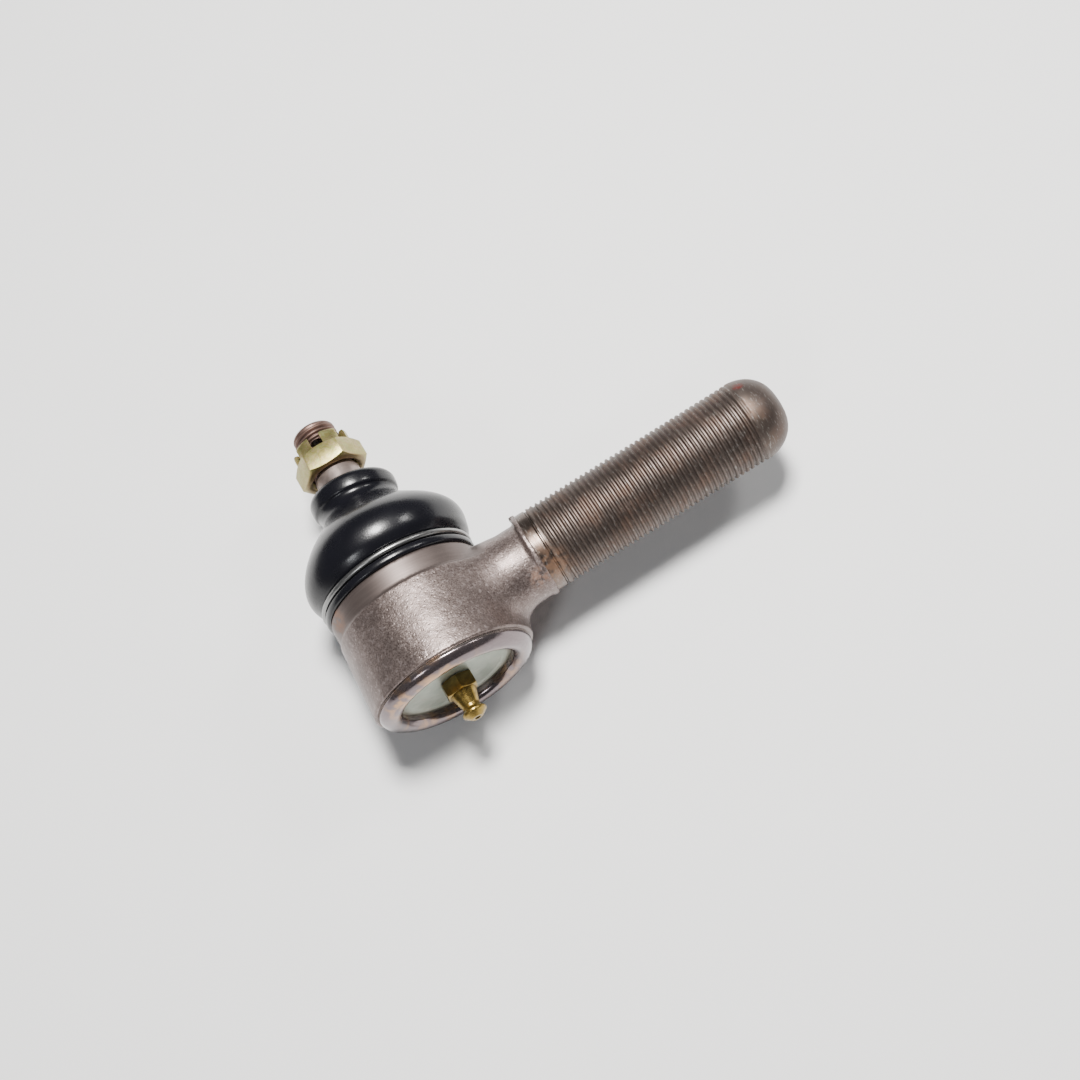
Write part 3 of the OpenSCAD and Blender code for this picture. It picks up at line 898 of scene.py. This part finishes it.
class TIEROD_OT_forging(bpy.types.Operator):
    """Build the socket forging with its neck and collar"""

    bl_idname = "tierod.forging"
    bl_label = "Socket forging"

    def execute(self, context):
        s = sizes()
        body, cavity = body_outline(), cavity_outline()
        inner = [
            (SEAT_R, LIP_SPLIT), (SEAT_R, COVER_IN), (BORE_R, COVER_IN),
            (BORE_R, ROOF_IN), (MOUTH_LOW_R, ROOF_IN), (MOUTH_TOP_R, ROOF_TOP),
        ]
        shell = lathe("socket_forging", body[1:-1] + inner[::-1], 96, STUD, True)
        neck = lathe("neck", [
            (0, NECK_START), (NECK_R, NECK_START), (10.2, NECK_END - 0.6), (0, NECK_END - 0.6),
        ], 64, SHANK)
        for point in neck.data.vertices:
            point.co.y -= NECK_DROP * MM
        collar = lathe(
            "collar", [(0, 32.6), (COLLAR_R, 32.6), (COLLAR_R, NECK_END), (0, NECK_END)], 64, SHANK
        )
        work = bmesh.new()
        for part in (shell, neck, collar):
            work.from_mesh(part.data)
        work.to_mesh(shell.data)
        work.free()
        for part in (neck, collar):
            bpy.data.objects.remove(part)
        remeshed(shell, s.forging_voxel)
        settle_on_skin(shell.data, 4, body, cavity)
        remeshed(shell, s.forging_voxel)
        points = settle_on_skin(shell.data, 4, body, cavity)
        self.roughen(shell.data, points, cavity, s)
        shell.data.shade_smooth()
        ready(shell, "housing", "forged_steel", forged_skin(), "forged_housing")
        return {"FINISHED"}

    def roughen(self, mesh, points, cavity, s):
        """Gives the skin that isn't machined a forging's low lumps."""
        r = np.hypot(points[:, 0], points[:, 2])
        bore = outline_distance(r, points[:, 1], cavity)
        raw = (bore > 0.3) & (points[:, 1] < BAND_LOW) & (points[:, 1] > LIP_SPLIT + 0.2)
        raw |= (r > SOCKET_REACH) & (points[:, 0] < NECK_END - 0.1)
        normals = np.empty(len(points) * 3)
        mesh.vertices.foreach_get("normal", normals)
        normals = normals.reshape(-1, 3)
        height = s.forging_roughness / MM
        shift = Vector((s.seed, 2 * s.seed, 3 * s.seed))
        for i in np.nonzero(raw)[0]:
            place = Vector(points[i])
            lump = noise.noise(place / 5 + shift) + 0.55 * noise.noise(place / 1.6 + shift)
            points[i] += normals[i] * lump * height
        mesh.vertices.foreach_set("co", (points * MM).ravel())
        mesh.update()


class TIEROD_OT_rolled_lip(bpy.types.Operator):
    """Build the lip that is rolled in over the cover"""

    bl_idname = "tierod.rolled_lip"
    bl_label = "Rolled lip"

    def execute(self, context):
        crest = [(21.35, -16.4), (21.25, -17.0), (21.45, -17.6), (21.1, -18.5), (20.2, -19.4),
                 (18.9, -20.0), (17.9, -20.13), (17.0, -19.95), (16.3, -19.5), (15.8, -18.8),
                 (15.66, -18.0), (15.66, -17.2)]
        inside = [(17.7, -17.13), (17.72, -16.0), (21.0, -16.0)]
        outline = smooth_curve(crest, 5) + inside
        lip = lathe("rolled_lip", outline, 192, STUD, True)
        ready(lip, "housing", "forged_steel", rolled_steel(), "forged_housing")
        return {"FINISHED"}


class TIEROD_OT_shank(bpy.types.Operator):
    """Build the turned band and the threaded shank"""

    bl_idname = "tierod.shank"
    bl_label = "Threaded shank"

    def execute(self, context):
        s = sizes()
        start = s.shank_thread_start / MM
        band = lathe("turned_band", rounded([
            (0, NECK_END - 1.2), (10.9, NECK_END - 1.2), (10.9, start - 0.75, 0.25),
            (10.45, start - 0.5, 0.15), (10.45, start - 0.2, 0.1), (10.2, start + 0.3),
            (0, start + 0.3),
        ], 4), 160, SHANK)
        ready(band, "housing", "forged_steel", turned_steel(), "forged_housing")
        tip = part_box("forged_housing")[1][0]
        rod = run_tree(
            "shank_thread", thread_tree(), Radius=s.shank_diameter / 2, Pitch=s.shank_pitch,
            Depth=0.42 * s.shank_pitch, Start=s.shank_thread_start, Tip=tip,
            Nose_length=s.nose_length, Nose_radius=0.003, Thread_end=tip - s.nose_length + 0.001,
            Rows_per_turn=8, Sides=112, Material=turned_steel(),
        )
        tidy_mesh(rod.data)
        shade(rod, 50)
        ready(rod, "housing", "forged_steel", turned_steel(), "forged_housing")
        return {"FINISHED"}


class TIEROD_OT_ball_stud(bpy.types.Operator):
    """Build the ball stud with its taper, its thread and its cotter hole"""

    bl_idname = "tierod.ball_stud"
    bl_label = "Ball stud"

    def execute(self, context):
        s = sizes()
        ball_r, flat, neck_r = 12.0, 10.0, 5.8
        low = math.degrees(math.asin(-flat / ball_r))
        high = math.degrees(math.acos(neck_r / ball_r))
        outline = [(0, -flat)] + arc((0, 0), (ball_r, ball_r), low, high, 48)
        outline += rounded([
            (neck_r, 10.6, 0.4), (neck_r, 18, 1.5), (7.75, 22.5, 0.5), (7.79, 24, 0.4),
            (6.25, 48.6, 0.15), (5.2, 48.9, 0.1), (5.2, 49.6), (0, 49.6),
        ], 5)
        shaft = lathe("ball_stud_shaft", outline, 128)
        ready(shaft, "stud", "stud_steel", stud_metal(), "ball_stud")
        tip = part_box("ball_stud")[1][1]
        rod = run_tree(
            "ball_stud_thread", thread_tree(), Radius=s.stud_diameter / 2, Pitch=s.stud_pitch,
            Depth=0.6 * s.stud_pitch, Start=0.0489, Tip=tip, Nose_length=0.0018,
            Nose_radius=0.0037, Thread_end=tip - 0.0012, Rows_per_turn=8, Sides=96,
            Material=stud_metal(),
        )
        rod.data.transform(Matrix.Rotation(math.radians(90), 4, "Z"))
        tidy_mesh(rod.data)
        hole = lathe("cotter", [(0, -9), (1.6, -9), (1.6, 9), (0, 9)], 40)
        hole.data.transform(
            Matrix.Translation((0, 0.057, 0)) @ Matrix.Rotation(s.stud_turn, 4, "Y")
            @ Matrix.Rotation(math.radians(90), 4, "X")
        )
        cut(rod, hole)
        shade(rod, 50)
        ready(rod, "stud", "stud_steel", stud_metal(), "ball_stud")
        return {"FINISHED"}


class TIEROD_OT_castle_nut(bpy.types.Operator):
    """Build the castle nut with its chamfers, crown and slots"""

    bl_idname = "tierod.castle_nut"
    bl_label = "Castle nut"

    def execute(self, context):
        s = sizes()
        low, top = (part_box("castle_nut")[k][1] / MM for k in (0, 1))
        hexagon_top = low + 6.2
        flats = s.nut_flats / MM / 2
        corner = flats / math.cos(math.radians(30))
        nut = prism("castle_nut_body", corner, low, hexagon_top, -s.stud_turn)
        chamfer = lathe("chamfer", [
            (0, low - 1), (flats - 0.9, low - 1), (flats - 0.35, low), (corner + 0.5, low + 1.15),
            (corner + 0.5, hexagon_top - 1.1), (8.2, hexagon_top + 0.1), (0, hexagon_top + 0.1),
        ], 120)
        cut(nut, chamfer, "INTERSECT")
        crown = lathe("crown", rounded([
            (0, low + 1), (7.9, low + 1), (7.9, top, 0.8), (0, top),
        ], 4), 120)
        cut(nut, crown, "UNION")
        bore = lathe("bore", [
            (0, low - 1), (7.1, low - 1), (7.1, low), (6.05, low + 0.95), (6.05, top - 0.5),
            (6.6, top + 0.05), (6.6, top + 1), (0, top + 1),
        ], 96)
        cut(nut, bore)
        for i in range(3):
            turn = s.stud_turn + math.radians(60 * i)
            level = (hexagon_top + top + 1) / 2
            height = top + 1 - hexagon_top
            tool = slab("slot", (3.4, height, 24), (0, level, 0), turn)
            cut(nut, tool)
        tidy_mesh(nut.data, 2e-6)
        ease_edges(nut, 0.14)
        ready(nut, "stud", "yellow_zinc", yellow_plating(), "castle_nut")
        return {"FINISHED"}


# The boot

BOOT_BASE = 10.4
BOOT_TOP = 43.0
GROOVE = 13.7


def boot_outlines():
    """Outer and inner outlines of the boot, as (height, radius) points in millimetres."""
    outside = smooth_curve([
        (BOOT_BASE, 20.3), (BOOT_BASE + 0.15, 20.95), (BOOT_BASE + 0.6, 21.35),
        (BOOT_BASE + 1.6, 21.4), (BOOT_BASE + 2.2, 21.05), (GROOVE - 0.75, 20.05),
        (GROOVE, 19.95), (GROOVE + 0.75, 20.2), (GROOVE + 1.2, 20.9), (GROOVE + 1.9, 21.5),
        (17.1, 22.4), (19.0, 22.85), (21.1, 22.95), (23.3, 22.55), (25.6, 21.4),
        (28.2, 19.2), (31.1, 15.7), (33.6, 12.7), (35.4, 11.3), (37.0, 10.85), (38.0, 11.05),
        (38.35, 11.4), (38.7, 11.65), (39.5, 11.8), (40.5, 11.85), (41.5, 11.8), (42.3, 11.45),
        (42.75, 11.0), (43.0, 10.5),
    ], 4)
    lip = [(42.95, 10.4), (42.7, 10.3), (42.65, 10.15), (42.9, 10.0), (42.95, 9.75),
           (42.7, 9.6), (42.65, 9.45), (42.85, 9.25), (42.7, 9.02)]
    inside = smooth_curve([
        (42.4, 9.0), (40.0, 9.0), (37.0, 9.0), (34.4, 10.2), (31.0, 13.6), (27.5, 17.2),
        (25.1, 19.1), (22.5, 20.4), (20.1, 20.6), (17.6, 20.1), (15.4, 19.2), (13.2, 18.6),
        (BOOT_BASE, 18.6),
    ], 3)
    return outside + lip + inside


class TIEROD_OT_dust_boot(bpy.types.Operator):
    """Build the dust boot and its clamp ring"""

    bl_idname = "tierod.dust_boot"
    bl_label = "Dust boot"

    def execute(self, context):
        s = sizes()
        sides = 160
        rings = []
        for height, radius in boot_outlines():
            share = min(max((height - GROOVE - 1) / (BOOT_TOP - GROOVE - 1), 0), 1)
            lean = s.boot_cock * share ** 0.8
            shift = s.boot_shift / MM * share * share
            hump = max(0, 1 - ((height - 28) / 10) ** 2) ** 2
            ring = []
            for i in range(sides):
                a = 2 * math.pi * i / sides
                one, two = math.cos(a), math.sin(a)
                out = radius + hump * (1.1 * max(one, 0) ** 2 - 2.1 * max(-one, 0) ** 2)
                ring.append((
                    out * one * math.cos(lean) + shift,
                    height - out * one * math.sin(lean), out * two,
                ))
            rings.append(ring)
        boot = ring_mesh("dust_boot_rubber", rings, True)
        boot.data.shade_smooth()
        ready_between(
            boot, glossy_rubber(),
            "dust_boot",
        )
        self.clamp_ring()
        return {"FINISHED"}

    def clamp_ring(self):
        section = arc((20.82, GROOVE), (0.78, 0.78), 0, 360, 20)[:-1]
        ring = lathe("boot_clamp_wire", section, 192, STUD, True)
        ready(ring, "boot_base", "ring_steel", ring_wire(), "boot_clamp_ring")


class TIEROD_OT_cover(bpy.types.Operator):
    """Build the pressed end cover"""

    bl_idname = "tierod.cover"
    bl_label = "End cover"

    def execute(self, context):
        out, inn = (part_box("end_cover")[k][1] / MM for k in (0, 1))
        section = rounded([
            (3.05, out, 0.15), (5.8, out), (9.5, out + 0.28, 0.8), (13.2, out + 0.28, 0.8),
            (14.6, out, 0.3), (17.5, out, 0.2), (17.5, inn, 0.2), (3.05, inn, 0.15),
        ], 5)
        cover = lathe("pressed_cover", section, 160, STUD, True)
        ready(cover, "housing", "zinc_plate", zinc_sheet(), "end_cover")
        return {"FINISHED"}


class TIEROD_OT_nipple(bpy.types.Operator):
    """Build the grease nipple and its check spring"""

    bl_idname = "tierod.nipple"
    bl_label = "Grease nipple"

    def execute(self, context):
        tip, foot = (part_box("grease_nipple")[k][1] / MM for k in (0, 1))
        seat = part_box("end_cover")[0][1] / MM
        flat, bore, mouth = 4.0, 1.4, 0.8
        hexagon = prism(
            "nipple_body", flat / math.cos(math.radians(30)), seat - 4.05, seat - 0.07, 0.35
        )
        chamfer = lathe("chamfer", [
            (0, seat - 4.6), (flat - 0.5, seat - 4.6), (flat - 0.1, seat - 4.05),
            (flat + 1, seat - 3.45), (flat + 1, seat - 0.5), (flat + 0.1, seat - 0.06),
            (0, seat - 0.06),
        ], 64)
        cut(hexagon, chamfer, "INTERSECT")
        ease_edges(hexagon, 0.1)
        ready(hexagon, "housing", "nipple_zinc", nipple_plating(), "grease_nipple")
        tube = lathe("nipple_tube", rounded([
            (mouth, tip + 2.0), (mouth, tip, 0.1), (1.5, tip, 0.3), (3.25, tip + 1.3, 0.5),
            (3.25, tip + 1.9, 0.3), (2.4, tip + 2.75, 0.5), (2.4, tip + 3.6, 0.4),
            (3.5, seat - 4.2, 0.3), (3.5, seat - 1.6), (2.95, seat - 0.6),
            (2.95, foot - 0.4), (2.6, foot, 0.1),
            (bore, foot, 0.1), (bore, tip + 2.8, 0.4),
        ], 5), 96, STUD, True)
        ready(tube, "housing", "nipple_zinc", nipple_plating(), "grease_nipple")
        low, high = (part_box("nipple_check_spring")[k][1] for k in (0, 1))
        wire = 0.000175
        coil = run_tree(
            "check_spring_coil", coil_tree(), Turns=6.0, Coil_radius=0.0014 - wire - 0.0001,
            Wire_radius=wire, Height=high - low - 2 * wire, Material=spring_blue(),
        )
        coil.data.transform(
            Matrix.Translation((0, low + wire, 0)) @ Matrix.Rotation(math.radians(-90), 4, "X")
        )
        coil.data.shade_smooth()
        ready_between(
            coil, spring_blue(),
            "nipple_check_spring",
        )
        return {"FINISHED"}


class TIEROD_OT_disc_spring(bpy.types.Operator):
    """Build the disc spring as a fixed dish; the real spring flattens as the pressure seat moves"""

    bl_idname = "tierod.disc_spring"
    bl_label = "Disc spring"

    def execute(self, context):
        low, high = (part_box("disc_spring")[k][1] / MM for k in (0, 1))
        section = rounded([
            (8.64, high - 1.2, 0.12), (15.45, low, 0.12),
            (15.45, low + 1.2, 0.12), (8.64, high, 0.12),
        ], 3)
        spring = lathe("disc_spring_dish", section, 128, STUD, True)
        ready_between(
            spring, spring_blue(),
            "disc_spring",
        )
        return {"FINISHED"}


class TIEROD_OT_inside_parts(bpy.types.Operator):
    """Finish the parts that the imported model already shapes"""

    bl_idname = "tierod.inside_parts"
    bl_label = "Inside parts"

    def execute(self, context):
        for node, finish in (
            ("upper_bearing", bearing_acetal), ("lower_bearing", bearing_acetal),
            ("boot_lip_ring", ring_wire), ("nipple_check_ball", ring_wire),
        ):
            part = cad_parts[node]
            for place in part.material_slots:
                place.material = finish()
            if not part.material_slots:
                raise RuntimeError(f"{node} has no material slot")
        return {"FINISHED"}


# The stage


class TIEROD_OT_stage(bpy.types.Operator):
    """Set the floor, the lights and the camera"""

    bl_idname = "tierod.stage"
    bl_label = "Stage"

    def execute(self, context):
        scene = context.scene
        low = CAD_BOX[0][2]
        work = bmesh.new()
        bmesh.ops.create_grid(work, x_segments=8, y_segments=8, size=3.0)
        mesh = bpy.data.meshes.new("floor")
        work.to_mesh(mesh)
        work.free()
        mesh.transform(Matrix.Translation((0, 0, low - 0.0004)))
        floor = new_object("floor", mesh)
        mesh.materials.append(studio_paper())
        self.camera(scene)
        self.light("key", (0.17, 0.14, 0.8), 0.18, 18.0, (1.0, 0.985, 0.96))
        self.light("right", (0.66, 0.1, 0.56), 0.14, 1.6, (1.0, 0.99, 0.97))
        self.light("left", (-0.42, -0.46, 0.62), 0.16, 1.5, (0.96, 0.98, 1.0))
        world = bpy.data.worlds.new("studio")
        world.use_nodes = True
        back = world.node_tree.nodes["Background"]
        back.inputs["Color"].default_value = (0.93, 0.95, 1.0, 1)
        back.inputs["Strength"].default_value = 0.12
        scene.world = world
        return {"FINISHED"}

    def camera(self, scene):
        azimuth, elevation, roll = (math.radians(a) for a in (-2.3, 68.7, -29.9))
        back = Vector((
            math.sin(azimuth) * math.cos(elevation), -math.cos(azimuth) * math.cos(elevation),
            math.sin(elevation),
        ))
        right = Vector((math.cos(azimuth), math.sin(azimuth), 0))
        up = back.cross(right)
        across = right * math.cos(roll) + up * math.sin(roll)
        above = up * math.cos(roll) - right * math.sin(roll)
        data = bpy.data.cameras.new("camera")
        data.lens, data.sensor_width = 50, 36
        data.clip_start, data.clip_end = 0.01, 20
        camera = new_object("camera", data)
        aside, upward, distance = 0.0295, 0.0213, 0.38
        place = across * aside + above * upward + back * distance
        turned = Matrix((across, above, back)).transposed().to_4x4()
        camera.matrix_world = Matrix.Translation(place) @ turned
        scene.camera = camera

    def light(self, name, place, size, power, colour):
        data = bpy.data.lights.new(name, "AREA")
        data.shape, data.size, data.energy, data.color = "SQUARE", size, power, colour
        lamp = new_object(name, data)
        target = Vector((0.03, 0.01, 0))
        lamp.matrix_world = (
            Matrix.Translation(place)
            @ (Vector(place) - target).to_track_quat("Z", "Y").to_matrix().to_4x4()
        )


# Registration

OPERATORS = (
    TIEROD_OT_forging, TIEROD_OT_rolled_lip, TIEROD_OT_shank, TIEROD_OT_ball_stud,
    TIEROD_OT_castle_nut, TIEROD_OT_dust_boot, TIEROD_OT_cover, TIEROD_OT_nipple,
    TIEROD_OT_disc_spring, TIEROD_OT_inside_parts, TIEROD_OT_stage,
)


class TIEROD_PT_panel(bpy.types.Panel):
    """Lists the pieces of the tie rod end"""

    bl_idname = "TIEROD_PT_panel"
    bl_label = "Tie Rod End"
    bl_space_type = "VIEW_3D"
    bl_region_type = "UI"
    bl_category = "Tie Rod End"

    def draw(self, context):
        column = self.layout.column()
        for group in (context.scene.tie_rod_sizes, context.scene.tie_rod_finishes):
            for name in group.__annotations__:
                column.prop(group, name)
        for operator in OPERATORS:
            column.operator(operator.bl_idname)


CLASSES = (TieRodSizes, TieRodFinishes, *OPERATORS, TIEROD_PT_panel)


def register():
    for item in CLASSES:
        bpy.utils.register_class(item)
    bpy.types.Scene.tie_rod_sizes = bpy.props.PointerProperty(type=TieRodSizes)
    bpy.types.Scene.tie_rod_finishes = bpy.props.PointerProperty(type=TieRodFinishes)


def unregister():
    del bpy.types.Scene.tie_rod_finishes
    del bpy.types.Scene.tie_rod_sizes
    for item in reversed(CLASSES):
        bpy.utils.unregister_class(item)


def main():
    register()
    for operator in OPERATORS:
        group, name = operator.bl_idname.split(".")
        getattr(getattr(bpy.ops, group), name)()


if __name__ == "__main__":
    main()
